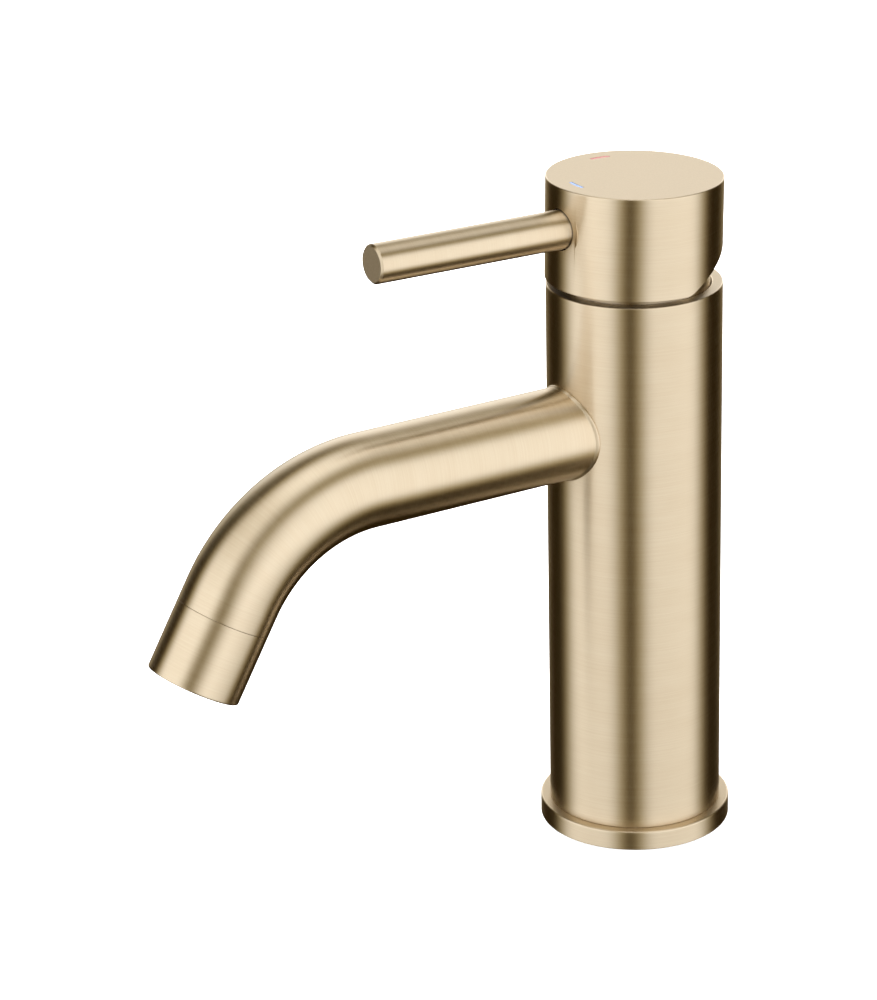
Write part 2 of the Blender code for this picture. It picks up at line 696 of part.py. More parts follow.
def make_stem(steel, handle_frame):
    half = STEM_SIDE / 2
    low = (-half, -half, -STEM_HUB_DROP)
    stem = block("cartridge_stem", low, (half, half, STEM_TOP), steel, handle_frame)
    neck = rod("stem_neck", STEM_NECK_RADIUS, (0, 0, -STEM_ARM), (0, 0, 0), NARROW, None, handle_frame)
    steps = 8
    turns = [-math.pi / 2 + math.pi * i / steps for i in range(steps + 1)]
    outline = [(STEM_BALL_RADIUS * math.cos(a), STEM_BALL_RADIUS * math.sin(a)) for a in turns]
    outline[0] = (0, -STEM_BALL_RADIUS)
    outline[-1] = (0, STEM_BALL_RADIUS)
    ball = turned("stem_ball", outline, NARROW, None, handle_frame, (0, 0, -STEM_ARM))
    combine(stem, [neck, ball], "UNION")
    across = Vector((half + FIT, 0, 0))
    bore = rod("stem_pin_bore_cutter", PIN_RADIUS + FIT, -across, across, NARROW, None, handle_frame)
    combine(stem, [bore])


def grub_axis():
    """Where the grub screw starts, and the way it runs, in the handle's frame."""
    direction = Vector((0, math.cos(GRUB_SLOPE), -math.sin(GRUB_SLOPE)))
    start = Vector((0, GRUB_START, GRUB_HEIGHT))
    return start, direction


def make_cap(gold, cap_frame, handle_frame):
    bottom = CAP_BOTTOM - PIVOT_HEIGHT
    top = CAP_TOP - PIVOT_HEIGHT
    ceiling = top - CAP_CEILING
    cavity = CAP_RADIUS - CAP_WALL
    cap = turned("handle_cap", [
        (0, ceiling),
        (cavity, ceiling),
        (cavity, bottom),
        (CAP_RADIUS - CAP_BEVEL, bottom),
        (CAP_RADIUS, bottom + CAP_BEVEL),
        (CAP_RADIUS, top - CAP_BEVEL),
        (CAP_RADIUS - CAP_BEVEL, top),
        (0, top),
    ], BROAD, gold, cap_frame)

    inside_top = Vector((0, 0, top - CAP_CEILING / 2))
    stem_centre = Vector((0, CAP_FORWARD, 0))
    lever_axis = Vector((0, 0, LEVER_HEIGHT))
    in_wall = CAP_RADIUS - CAP_WALL / 2
    pad_start, pad_direction = grub_axis()
    pad_end = pad_start + pad_direction * GRUB_LENGTH
    pad_root = pad_start - pad_direction * FIT
    boss_foot = stem_centre + UP * BOSS_BOTTOM
    lever_end = lever_axis + FORWARD * in_wall
    combine(cap, [
        rod("stem_boss", BOSS_RADIUS, boss_foot, stem_centre + inside_top, MEDIUM, None, cap_frame),
        rod("lever_boss", BOSS_RADIUS - FIT, lever_axis, lever_end, MEDIUM, None, cap_frame),
        rod("grub_pad", GRUB_PAD_RADIUS, pad_root, pad_end, NARROW, None, handle_frame),
    ], "UNION")

    half = STEM_SIDE / 2 + FIT
    outside = lever_axis + FORWARD * 2 * CAP_RADIUS
    lever_seat = lever_axis + FORWARD * (LEVER_ROOT - FIT)
    stud_seat = lever_axis + FORWARD * (STUD_INNER - FIT)
    grub_inner = pad_start - pad_direction * GRUB_START
    grub_outer = grub_inner + pad_direction * BOSS_RADIUS * 2
    combine(cap, [
        block("stem_socket_cutter", (-half, -half, 0), (half, half, STEM_TOP + FIT), None, handle_frame),
        rod("lever_bore_cutter", LEVER_RADIUS + FIT, lever_seat, outside, MEDIUM, None, cap_frame),
        rod("stud_bore_cutter", STUD_RADIUS + FIT, stud_seat, outside, NARROW, None, cap_frame),
        rod("grub_bore_cutter", GRUB_RADIUS + FIT, grub_inner, grub_outer, NARROW, None, handle_frame),
        relief_cutter(bottom, cap_frame),
        mark_shape("hot_pocket_cutter", HOT_MARK_BEARING, SNUG, None, cap_frame),
        mark_shape("cold_pocket_cutter", COLD_MARK_BEARING, SNUG, None, cap_frame),
    ])


def relief_cutter(bottom, cap_frame):
    """A wedge under the cap's rear, which clears the column when the lever is lifted."""
    far = 2 * CAP_RADIUS
    run = far - RELIEF_START
    profile = [
        (RELIEF_START, bottom),
        (far, bottom + run * math.tan(RELIEF_ANGLE)),
        (far, bottom - far),
        (RELIEF_START - far * math.tan(RELIEF_ANGLE), bottom - far),
    ]
    bm = bmesh.new()
    left, right = ([bm.verts.new((x, y, z)) for y, z in profile] for x in (-far, far))
    bm.faces.new(left)
    bm.faces.new(right)
    for i in range(len(profile)):
        j = (i + 1) % len(profile)
        bm.faces.new((left[i], left[j], right[j], right[i]))
    return piece("relief_cutter", bm, None, cap_frame)


def mark_shape(name, bearing, grow, material, cap_frame):
    """A short curved bar set in the cap's top. With grow it is the pocket for that bar."""
    top = CAP_TOP - PIVOT_HEIGHT
    low = top - MARK_DEPTH - grow
    high = top + (FIT if grow else 0)
    half_arc = (MARK_ARC + 2 * grow / MARK_RADIUS) / 2
    inner = MARK_RADIUS - MARK_WIDTH / 2 - grow
    outer = MARK_RADIUS + MARK_WIDTH / 2 + grow
    steps = 6
    bm = bmesh.new()
    sections = []
    for i in range(steps + 1):
        turn = bearing - half_arc + 2 * half_arc * i / steps
        spoke = Vector((math.cos(turn), math.sin(turn), 0))
        corners = ((inner, low), (outer, low), (outer, high), (inner, high))
        sections.append([bm.verts.new(spoke * radius + UP * height) for radius, height in corners])
    for near, far in zip(sections, sections[1:]):
        for i in range(4):
            j = (i + 1) % 4
            bm.faces.new((near[i], near[j], far[j], far[i]))
    bm.faces.new(sections[0])
    bm.faces.new(sections[-1])
    return piece(name, bm, material, cap_frame)


def make_lever(gold, steel, cap_frame):
    axis = Vector((0, 0, LEVER_HEIGHT))
    lever = rod(
        "lever_rod", LEVER_RADIUS, axis + FORWARD * LEVER_ROOT, axis + FORWARD * LEVER_TIP,
        MEDIUM, gold, cap_frame, LEVER_BEVEL,
    )
    bore_start = axis + FORWARD * (LEVER_ROOT - FIT)
    bore_end = axis + FORWARD * (STUD_OUTER + FIT)
    bore = rod("lever_stud_cutter", STUD_RADIUS + FIT, bore_start, bore_end, NARROW, None, cap_frame)
    combine(lever, [bore])
    rod(
        "lever_stud", STUD_RADIUS, axis + FORWARD * STUD_INNER, axis + FORWARD * STUD_OUTER,
        NARROW, steel, cap_frame,
    )


def make_grub_screw(steel, handle_frame):
    start, direction = grub_axis()
    end = start + direction * GRUB_LENGTH
    screw = rod("cap_grub_screw", GRUB_RADIUS, start, end, NARROW, steel, handle_frame)
    corner_radius = GRUB_SOCKET_ACROSS / math.sqrt(3)
    socket_start = end - direction * GRUB_SOCKET_DEPTH
    socket_end = end + direction * FIT
    hexagon = 6
    socket = rod("hex_socket_cutter", corner_radius, socket_start, socket_end, hexagon, None, handle_frame)
    combine(screw, [socket])


# ---- The whole tap ----------------------------------------------------------------------------

def main():
    clear_scene()
    gold = finish("brushed champagne gold", 0xC8B796, 0.3, 1)
    brass = finish("machined brass", 0xC9A24F, 0.35, 1)
    steel = finish("stainless steel", 0xB9BBBD, 0.3, 1)
    plastic = finish("grey acetal", 0xC9CBC8, 0.5, 0)
    ceramic = finish("alumina ceramic", 0xEFEDE6, 0.25, 0)
    rubber = finish("black rubber", 0x1C1C1E, 0.7, 0)
    red = finish("red enamel", 0xB4202A, 0.3, 0)
    blue = finish("blue enamel", 0x1F4FA3, 0.3, 0)

    swivel_frame = frame_at("swivel_frame", (0, 0, 0))
    pin_frame = frame_at("pin_frame", (0, 0, PIVOT_HEIGHT), swivel_frame)
    handle_frame = frame_at("handle_frame", (0, 0, PIVOT_HEIGHT), swivel_frame, -REST_LIFT)
    cap_frame = frame_at("cap_frame", (0, -CAP_FORWARD, 0), handle_frame)

    make_base(gold, brass, rubber)
    make_column(gold)
    make_valve_core(brass)
    make_spout(gold, brass, rubber)
    make_aerator(gold, plastic, steel, rubber)
    make_cartridge_base(plastic, ceramic, rubber)
    make_sliding_discs(plastic, ceramic, swivel_frame)
    make_cartridge_housing(plastic, brass, gold)
    make_swivel(plastic, steel, swivel_frame, pin_frame)
    make_stem(steel, handle_frame)
    make_cap(gold, cap_frame, handle_frame)
    make_lever(gold, steel, cap_frame)
    make_grub_screw(steel, handle_frame)
    mark_shape("hot_mark", HOT_MARK_BEARING, 0.0, red, cap_frame)
    mark_shape("cold_mark", COLD_MARK_BEARING, 0.0, blue, cap_frame)


main()
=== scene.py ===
import json
import math

import bmesh
import bpy
from mathutils import Euler, Matrix, Vector


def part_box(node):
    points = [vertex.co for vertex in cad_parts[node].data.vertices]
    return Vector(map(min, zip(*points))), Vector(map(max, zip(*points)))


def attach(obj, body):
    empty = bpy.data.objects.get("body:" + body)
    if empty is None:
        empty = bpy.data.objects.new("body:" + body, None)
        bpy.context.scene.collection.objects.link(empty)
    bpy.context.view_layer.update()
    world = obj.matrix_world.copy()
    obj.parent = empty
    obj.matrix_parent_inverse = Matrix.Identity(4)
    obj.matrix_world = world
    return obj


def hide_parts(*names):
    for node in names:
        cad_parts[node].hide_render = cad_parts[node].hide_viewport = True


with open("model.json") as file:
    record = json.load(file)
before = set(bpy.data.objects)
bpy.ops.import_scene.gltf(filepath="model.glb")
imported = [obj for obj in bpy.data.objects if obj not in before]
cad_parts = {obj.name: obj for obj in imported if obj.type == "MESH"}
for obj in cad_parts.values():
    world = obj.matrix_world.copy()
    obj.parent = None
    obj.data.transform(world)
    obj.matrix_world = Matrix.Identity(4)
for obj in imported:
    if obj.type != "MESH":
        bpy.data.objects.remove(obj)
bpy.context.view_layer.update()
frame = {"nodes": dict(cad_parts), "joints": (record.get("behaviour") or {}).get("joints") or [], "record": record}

# A single-lever basin mixer in brushed champagne gold, standing in a light tent.
# Everything is in metres. The tap's parts are turned or swept about their own axes: each is made with that
# axis along Z, cut, given the direction of its brushing, and only then moved to its place in the frame.

MM = 0.001

# ---- Sizes --------------------------------------------------------------------------------------

BROAD = 224  # steps round the column and the cap
MEDIUM = 128  # steps round the spout, its end and the lever
NARROW = 64
FILLET_STEPS = 5
HOLD = 0.25 * MM  # a line of points beside each rounded edge keeps the flats beyond it flat
CREASE = math.radians(35)
FLAT = 0.999  # a face whose normal rises by more than this counts as level
FIT = 0.3 * MM  # clearance between pieces that screw or slide together
OVERCUT = 2 * MM  # how far a cutter stands out of what it cuts

FLANGE_ROUND = 0.45 * MM
FLANGE_EDGE = 0.15 * MM
COLUMN_ROUND = 0.3 * MM
COLUMN_FOOT_ROUND = 0.12 * MM
FOOT_GAP = 0.04 * MM
COLUMN_UPPER_BORE = 19.6 * MM
COLUMN_LOWER_BORE = 17.8 * MM
COLUMN_LEDGE = 89.7 * MM
SEAL_WIDTH = 4.2 * MM
SEAL_ROUND = 0.4 * MM
SEAL_RECESS = 0.3 * MM

DOME_RUN = 3.8 * MM
DOME_STEPS = 16
DOME_WALL = 1.6 * MM
DOME_HOLE = 12.7 * MM

SPOUT_WALL = 1.85 * MM
SPOUT_STRAIGHT = 80.1 * MM  # column's axis to the start of the bend
SPOUT_BEND_RADIUS = 44.3 * MM
SPOUT_BEND = math.radians(60.1)
SPOUT_END = 23.7 * MM  # straight run after the bend, with the aerator's housing
SPOUT_ROOT = 14.3 * MM
SPIGOT_RADIUS = 11.0 * MM
SPIGOT_LENGTH = 6.2 * MM
SPOUT_EDGE_ROUND = 0.06 * MM
SEAM_GAP = 0.08 * MM
BEND_STEPS = 60
STRAIGHT_STEPS = 12
LIP_REACH = 0.42 * MM  # thin rolled lip where the spout meets the column
LIP_LENGTH = 0.95 * MM
LIP_SETTLE = 4 * LIP_LENGTH  # this far beyond the column's radius, the rings round the spout are flat
LIP_FAN_STEPS = 5
# Outline of the lip: shares of its length, away from the column, and of its reach, out from the spout.
LIP_OUTLINE = [
    (-0.3, 0.0), (0.03, 0.0), (0.03, 0.75), (0.1, 0.93), (0.22, 1.0), (0.4, 0.96),
    (0.62, 0.72), (0.8, 0.35), (0.92, 0.08), (1.0, 0.0), (1.3, 0.0),
]

HOUSING_LENGTH = 18.25 * MM
HOUSING_RIM_ROUND = 0.45 * MM
HOUSING_BORE = 10.5 * MM
HOUSING_LIP_BORE = 9.9 * MM
HOUSING_LIP = 1.6 * MM
INSERT_RADIUS = 10.2 * MM
INSERT_HEIGHT = 5.5 * MM
NET_RADIUS = 8.4 * MM
NET_CELL = 1.45 * MM
NET_WALL = 0.28 * MM
NET_DEPTH = 1.5 * MM
CUP_ROUND = 0.2 * MM
CUP_LIP_ROUND = 0.3 * MM
CUP_WALL = 1.5 * MM
CUP_OVERLAP = 0.4 * MM  # how far the cup's inner lip reaches under the honeycomb
NOTCH_COUNT = 4
NOTCH_START = 8.6 * MM
NOTCH_END = 12 * MM
NOTCH_HALF = 0.8 * MM
NOTCH_DEPTH = 0.9 * MM

REST_LIFT = math.radians(1.12)
CAP_FORWARD = 0.31 * MM
CAP_BOTTOM = 0.26 * MM  # heights in the handle are above the pivot
CAP_TOP = 26.85 * MM
CAP_WALL = 1.6 * MM
CAP_CEILING = 2.9 * MM
CAP_ROUND = 0.3 * MM
RELIEF_START = 1.7 * MM
RELIEF_ANGLE = math.radians(28.7)
RELIEF_ROUND = 9.0 * MM
BOSS_RADIUS = 7.2 * MM
BOSS_BOTTOM = 8.2 * MM
STEM_SIDE = 8.0 * MM
STEM_TOP = 16.0 * MM
LEVER_HEIGHT = 16.08 * MM
LEVER_RADIUS = 5.0 * MM
LEVER_ROOT = 14.3 * MM
LEVER_TIP = 76.6 * MM
LEVER_CHAMFER = 0.5 * MM
LEVER_TIP_ROUND = 0.12 * MM
LEVER_BORE = 3.3 * MM
LEVER_BORE_END = 24.3 * MM
GRUB_START = 4.8 * MM
GRUB_LENGTH = 4.1 * MM
GRUB_HEIGHT = 13.0 * MM
GRUB_SLOPE = math.radians(13.0)
GRUB_PAD_RADIUS = 3.6 * MM
GRUB_BORE = 2.3 * MM
MARK_RADIUS = 17.6 * MM
MARK_WIDTH = 0.9 * MM
MARK_DEPTH = 0.5 * MM
MARK_ARC = math.radians(18.0)
MARK_SINK = 0.04 * MM
MARK_GAP = 0.04 * MM
MARK_STEPS = 16
MARK_CHAMFER = 0.12 * MM
HOT_BEARING = math.radians(176.0)
COLD_BEARING = math.radians(270.0)

# Camera
CAMERA_PLACE = (0.7447, -0.5061, 0.4486)
CAMERA_TILT = math.radians(68.268)
CAMERA_BEARING = math.radians(59.03)
CAMERA_ROLL = math.radians(-1.25)
CAMERA_LENS = 134.5

# Stage
COVE_RADIUS = 5.0
COVE_HEIGHT = 6.0
COVE_CURVE = 1.5
COVE_DROP = 0.1 * MM  # keeps the floor clear of the tap's underside


# ---- Finishes -----------------------------------------------------------------------------------

def paint(colour):
    """A hex sRGB colour such as 0xE8D7B9 as linear RGBA."""
    channels = [(colour >> shift & 255) / 255 for shift in (16, 8, 0)]
    linear = [c / 12.92 if c <= 0.04045 else ((c + 0.055) / 1.055) ** 2.4 for c in channels]
    return (*linear, 1.0)


def add(tree, kind, settings=None, **links):
    """Adds a node. Settings are its properties and inputs' values, links are the sockets that feed it."""
    node = tree.nodes.new(kind)
    for key, value in (settings or {}).items():
        if isinstance(key, str) and hasattr(node, key):
            setattr(node, key, value)
        else:
            node.inputs[key].default_value = value
    for key, socket in links.items():
        name = key.replace("_", " ")
        tree.links.new(socket, node.inputs[int(key[1:]) if key[1:].isdigit() else name])
    return node


def new_finish(name):
    material = bpy.data.materials.new(name)
    material.use_nodes = True
    tree = material.node_tree
    return material, tree, tree.nodes["Principled BSDF"]


def connect(tree, source, target, name):
    tree.links.new(source, target.inputs[name])


# Brushed PVD champagne gold: brass body, belt-brushed round each piece's axis and then coated. The belt's
# scratches run round the piece, so a highlight smears along it, and fine pale and dark lines cross it.
# Real scratches are 0.03 to 0.1 mm apart. They are drawn 0.3 mm apart, which is as fine as can be seen.
GOLD_HIGH = 0xE9DAC0
GOLD_LOW = 0xDFCDB1
LINE_SPACING = 0.3 * MM
LINE_LENGTH = 22 * MM
CLOUD_SIZE = 14 * MM

# The part of 0 to 1 that a noise fills, stretched to the whole of it.
NOISE_SPREAD = {"From Min": 0.3, "From Max": 0.7}


def brushed_gold():
    material, tree, shader = new_finish("champagne_gold_pvd_brushed")
    place = add(tree, "ShaderNodeAttribute", {"attribute_name": "grain"}).outputs["Vector"]
    stretch = {"vector_type": "TEXTURE", "Scale": (LINE_LENGTH, LINE_LENGTH, LINE_SPACING)}
    along = add(tree, "ShaderNodeMapping", stretch, Vector=place).outputs["Vector"]
    lines = add(tree, "ShaderNodeTexNoise", {"Scale": 1.0, "Detail": 4.0, "Roughness": 0.62}, Vector=along)
    soft = {"vector_type": "TEXTURE", "Scale": (CLOUD_SIZE, CLOUD_SIZE, CLOUD_SIZE / 3)}
    drift = add(tree, "ShaderNodeMapping", soft, Vector=place).outputs["Vector"]
    clouds = add(tree, "ShaderNodeTexNoise", {"Scale": 1.0, "Detail": 2.0}, Vector=drift)
    line = add(tree, "ShaderNodeMapRange", NOISE_SPREAD, Value=lines.outputs["Fac"]).outputs["Result"]
    cloud = add(tree, "ShaderNodeMapRange", NOISE_SPREAD, Value=clouds.outputs["Fac"]).outputs["Result"]
    tone = add(tree, "ShaderNodeMix", {"data_type": "FLOAT", "Factor": 0.3}, _2=line, _3=cloud).outputs[0]
    tones = {"data_type": "RGBA", 6: paint(GOLD_LOW), 7: paint(GOLD_HIGH)}
    colour = add(tree, "ShaderNodeMix", tones, _0=tone)
    connect(tree, colour.outputs[2], shader, "Base Color")
    rough = add(tree, "ShaderNodeMapRange", {"To Min": 0.31, "To Max": 0.36}, Value=line)
    connect(tree, rough.outputs["Result"], shader, "Roughness")
    bump = {"Strength": 0.25, "Distance": 0.01 * MM}
    relief = add(tree, "ShaderNodeBump", bump, Height=lines.outputs["Fac"])
    connect(tree, relief.outputs["Normal"], shader, "Normal")
    across = add(tree, "ShaderNodeTangent", {"direction_type": "UV_MAP", "uv_map": "brush"})
    connect(tree, across.outputs["Tangent"], shader, "Tangent")
    shader.inputs["Metallic"].default_value = 1.0
    shader.inputs["Anisotropic"].default_value = 0.93
    return material


# The level end faces of the cap, column, flange and lever: the same coat over fine bead blasting, which
# scatters evenly and looks pale and matte.
BLAST_GRAIN = 0.35 * MM
SATIN_HIGH = 0xDBCBB0
SATIN_LOW = 0xD1C0A3


def satin_gold():
    material, tree, shader = new_finish("champagne_gold_pvd_satin")
    place = add(tree, "ShaderNodeAttribute", {"attribute_name": "grain"}).outputs["Vector"]
    grain = add(tree, "ShaderNodeTexNoise", {"Scale": 1 / BLAST_GRAIN, "Detail": 3.0}, Vector=place)
    share = add(tree, "ShaderNodeMapRange", NOISE_SPREAD, Value=grain.outputs["Fac"]).outputs["Result"]
    tones = {"data_type": "RGBA", 6: paint(SATIN_LOW), 7: paint(SATIN_HIGH)}
    colour = add(tree, "ShaderNodeMix", tones, _0=share)
    connect(tree, colour.outputs[2], shader, "Base Color")
    rough = add(tree, "ShaderNodeMapRange", {"To Min": 0.38, "To Max": 0.46}, Value=share)
    connect(tree, rough.outputs["Result"], shader, "Roughness")
    bump = {"Strength": 0.2, "Distance": 0.01 * MM}
    relief = add(tree, "ShaderNodeBump", bump, Height=grain.outputs["Fac"])
    connect(tree, relief.outputs["Normal"], shader, "Normal")
    shader.inputs["Metallic"].default_value = 1.0
    return material


def worked(name, low, high, rough, metallic, scale, bump=0.15, detail=3.0):
    """A finish whose tone, roughness and relief follow one noise.

    Low and high are its colours, rough its range of roughness, and scale the noise's real size on X, Y and Z.
    """
    material, tree, shader = new_finish(name)
    place = add(tree, "ShaderNodeTexCoord").outputs["Object"]
    sized = add(tree, "ShaderNodeMapping", {"vector_type": "TEXTURE", "Scale": scale}, Vector=place)
    noise = add(tree, "ShaderNodeTexNoise", {"Scale": 1.0, "Detail": detail}, Vector=sized.outputs["Vector"])
    share = add(tree, "ShaderNodeMapRange", NOISE_SPREAD, Value=noise.outputs["Fac"]).outputs["Result"]
    colour = add(tree, "ShaderNodeMix", {"data_type": "RGBA", 6: paint(low), 7: paint(high)}, _0=share)
    connect(tree, colour.outputs[2], shader, "Base Color")
    dull = add(tree, "ShaderNodeMapRange", {"To Min": rough[0], "To Max": rough[1]}, Value=share)
    connect(tree, dull.outputs["Result"], shader, "Roughness")
    height = {"Strength": bump, "Distance": 0.02 * MM}
    relief = add(tree, "ShaderNodeBump", height, Height=noise.outputs["Fac"])
    connect(tree, relief.outputs["Normal"], shader, "Normal")
    shader.inputs["Metallic"].default_value = metallic
    return material


def make_finishes():
    """Every finish on the tap, by the record's slot name."""
    turning = (12 * MM, 12 * MM, 0.35 * MM)  # lathe feed marks, drawn as coarse as they need to show
    return {
        "champagne_gold": brushed_gold(),
        "satin_gold": satin_gold(),
        # Inside of the cap, where the coat does not reach: dull brass in a dark brown tone, a painted shade for
        # the dark gap under the cap.
        "cap_inside": worked("brass_painted_shade_inside_cap", 0x3A2A14, 0x5A4424, (0.45, 0.6), 1.0, turning),
        # Turned CW617N brass: bright yellow with feed marks round the axis.
        "brass": worked("brass_turned", 0xB8924A, 0xDBBB74, (0.28, 0.42), 1.0, turning),
        # Turned stainless steel: neutral grey, finer marks.
        "steel": worked("stainless_steel_turned", 0xA9AAA8, 0xCBCBC7, (0.25, 0.38), 1.0, turning),
        # Moulded acetal: off-white, slightly waxy, with a fine spark-eroded mould texture.
        "acetal": worked("acetal_moulded", 0xD3D2CB, 0xE2E1DB, (0.45, 0.58), 0.0, (0.5 * MM,) * 3),
        # Lapped alumina: nearly white, smooth, faint grain.
        "ceramic": worked("alumina_lapped", 0xEAE7DF, 0xF6F4EF, (0.16, 0.26), 0.0, (0.4 * MM,) * 3, 0.05),
        # Moulded EPDM: black with a dusty bloom.
        "rubber": worked("epdm_rubber_moulded", 0x151516, 0x2B2B2C, (0.62, 0.82), 0.0, (0.8 * MM,) * 3, 0.3),
        # Stoved enamel wiped into the pockets: muted, slightly uneven, half gloss.
        "red_enamel": worked("enamel_red_filled", 0x96444C, 0xA8565C, (0.3, 0.42), 0.0, (0.4 * MM,) * 3),
        "blue_enamel": worked("enamel_blue_filled", 0x5E7AB0, 0x7690C2, (0.3, 0.42), 0.0, (0.4 * MM,) * 3),
    }


# ---- Shapes -------------------------------------------------------------------------------------

def object_of(name, mesh):
    obj = bpy.data.objects.new(name, mesh)
    bpy.context.scene.collection.objects.link(obj)
    return obj


def from_bmesh(name, bm):
    bmesh.ops.recalc_face_normals(bm, faces=bm.faces)
    mesh = bpy.data.meshes.new(name)
    bm.to_mesh(mesh)
    bm.free()
    return object_of(name, mesh)


def rounded(corners):
    """An outline with its corners rounded. Each corner is (radius, height) or (radius, height, fillet)."""
    points = []
    count = len(corners)
    for i, corner in enumerate(corners):
        here = Vector(corner[:2])
        if len(corner) == 2:
            points.append(here)
            continue
        before = Vector(corners[i - 1][:2]) - here
        after = Vector(corners[(i + 1) % count][:2]) - here
        half = before.angle(after) / 2
        run = corner[2] / math.tan(half)
        before_way = before.normalized()
        after_way = after.normalized()
        centre = here + (before_way + after_way).normalized() * corner[2] / math.sin(half)
        start = (here + before_way * run - centre).normalized()
        end = (here + after_way * run - centre).normalized()
        if before.length > run + 2 * HOLD:
            points.append(here + before_way * (run + HOLD))
        for step in range(FILLET_STEPS + 1):
            points.append(centre + start.slerp(end, step / FILLET_STEPS) * corner[2])
        if after.length > run + 2 * HOLD:
            points.append(here + after_way * (run + HOLD))
    return points


def skin(name, rows, closed=True):
    """Quads between rings of points. If closed, the last ring joins the first. If not, both ends get faces."""
    bm = bmesh.new()
    rings = [[bm.verts.new(point) for point in row] for row in rows]
    following = rings[1:] + rings[:1] if closed else rings[1:]
    for near, far in zip(rings, following):
        for i in range(len(near)):
            j = (i + 1) % len(near)
            bm.faces.new((near[i], near[j], far[j], far[i]))
    if not closed:
        bm.faces.new(rings[0])
        bm.faces.new(rings[-1])
    return from_bmesh(name, bm)


def turned(name, outline, steps):
    """A (radius, height) outline turned about Z. One that starts and ends on the axis makes a solid."""
    turns = [2 * math.pi * i / steps for i in range(steps)]
    rows = [[(r * math.cos(a), r * math.sin(a), z) for a in turns] for r, z in outline if r > 0]
    return skin(name, rows, closed=outline[0][0] > 0)


def bar(radius, start, end, steps=NARROW):
    """A plain round bar to cut with or to join."""
    start, end = Vector(start), Vector(end)
    outline = [(0, 0), (radius, 0), (radius, (end - start).length), (0, (end - start).length)]
    obj = turned("bar", outline, steps)
    turn = Vector((0, 0, 1)).rotation_difference(end - start).to_matrix().to_4x4()
    obj.data.transform(Matrix.Translation(start) @ turn)
    return obj


def block(low, high):
    low, high = Vector(low), Vector(high)
    bm = bmesh.new()
    sized = Matrix.Translation((low + high) / 2) @ Matrix.Diagonal((*(high - low), 1))
    bmesh.ops.create_cube(bm, size=1, matrix=sized)
    return from_bmesh("block", bm)


def extruded(outline, half):
    """A (y, z) outline pulled out along X, half to each side."""
    bm = bmesh.new()
    left, right = ([bm.verts.new((x, y, z)) for y, z in outline] for x in (-half, half))
    bm.faces.new(left)
    bm.faces.new(right)
    for i in range(len(outline)):
        j = (i + 1) % len(outline)
        bm.faces.new((left[i], left[j], right[j], right[i]))
    return from_bmesh("extruded", bm)


def combine(obj, others, operation="DIFFERENCE"):
    """Cuts the others from obj, or joins them to it, and removes them."""
    for other in others:
        modifier = obj.modifiers.new("combine", "BOOLEAN")
        modifier.operation = operation
        modifier.solver = "EXACT"
        modifier.object = other
    bpy.context.view_layer.update()
    made = bpy.data.meshes.new_from_object(obj.evaluated_get(bpy.context.evaluated_depsgraph_get()))
    obj.modifiers.clear()
    obj.data = made
    for other in others:
        bpy.data.objects.remove(other)


BRUSH_SCALE = 10  # the brushing map's U rises by this in a metre along the axis
BRUSH_FALL = 0.7  # and falls by this share of it in a metre outwards, so that level faces are brushed too


def lay_grain(obj, straight=None):
    """Stores where the brushing runs: points with the axis along Z, and a UV map along and round that axis.

    Straight gives the same points with the piece unbent, and is left out for a piece that is straight.
    """
    mesh = obj.data
    places = straight or [vertex.co.copy() for vertex in mesh.vertices]
    attribute = mesh.attributes.new("grain", "FLOAT_VECTOR", "POINT")
    for item, place in zip(attribute.data, places):
        item.vector = place
    layer = mesh.uv_layers.get("brush") or mesh.uv_layers.new(name="brush")
    for face in mesh.polygons:
        corners = [places[i] for i in face.vertices]
        middle = sum(corners, Vector()) / len(corners)
        home = math.atan2(middle.y, middle.x)
        for loop, place in zip(face.loop_indices, corners):
            out = math.hypot(place.x, place.y)
            turn = home + math.remainder(math.atan2(place.y, place.x) - home, 2 * math.pi)
            layer.data[loop].uv = ((place.z - BRUSH_FALL * out) * BRUSH_SCALE, turn)


def place_piece(obj, body, nodes, finishes, slot, where=None, satin_top=False):
    """Gives a finished shape its finish and shading, moves it to its place, hangs it on its body and hides the
    imported parts it stands in for.

    Satin_top gives its highest flat face, before the move, the satin finish.
    """
    mesh = obj.data
    if "grain" not in mesh.attributes:
        lay_grain(obj)
    mesh.materials.clear()
    mesh.materials.append(finishes[slot])
    mesh.shade_smooth()
    mesh.set_sharp_from_angle(angle=CREASE)
    if satin_top:
        mesh.materials.append(finishes["satin_gold"])
        top = max(vertex.co.z for vertex in mesh.vertices)
        for face in mesh.polygons:
            if face.normal.z > FLAT and face.center.z > top - HOLD:
                face.material_index = 1
    if where:
        mesh.transform(where)
    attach(obj, body)
    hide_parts(*nodes)


def radius_of(node):
    low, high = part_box(node)
    return (high.x - low.x) / 2


# ---- Base and column ----------------------------------------------------------------------------

COLUMN_RADIUS = radius_of("body_column")
SPOUT_RADIUS = radius_of("spout_tube")
SPOUT_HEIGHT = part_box("spout_tube")[1].z - SPOUT_RADIUS


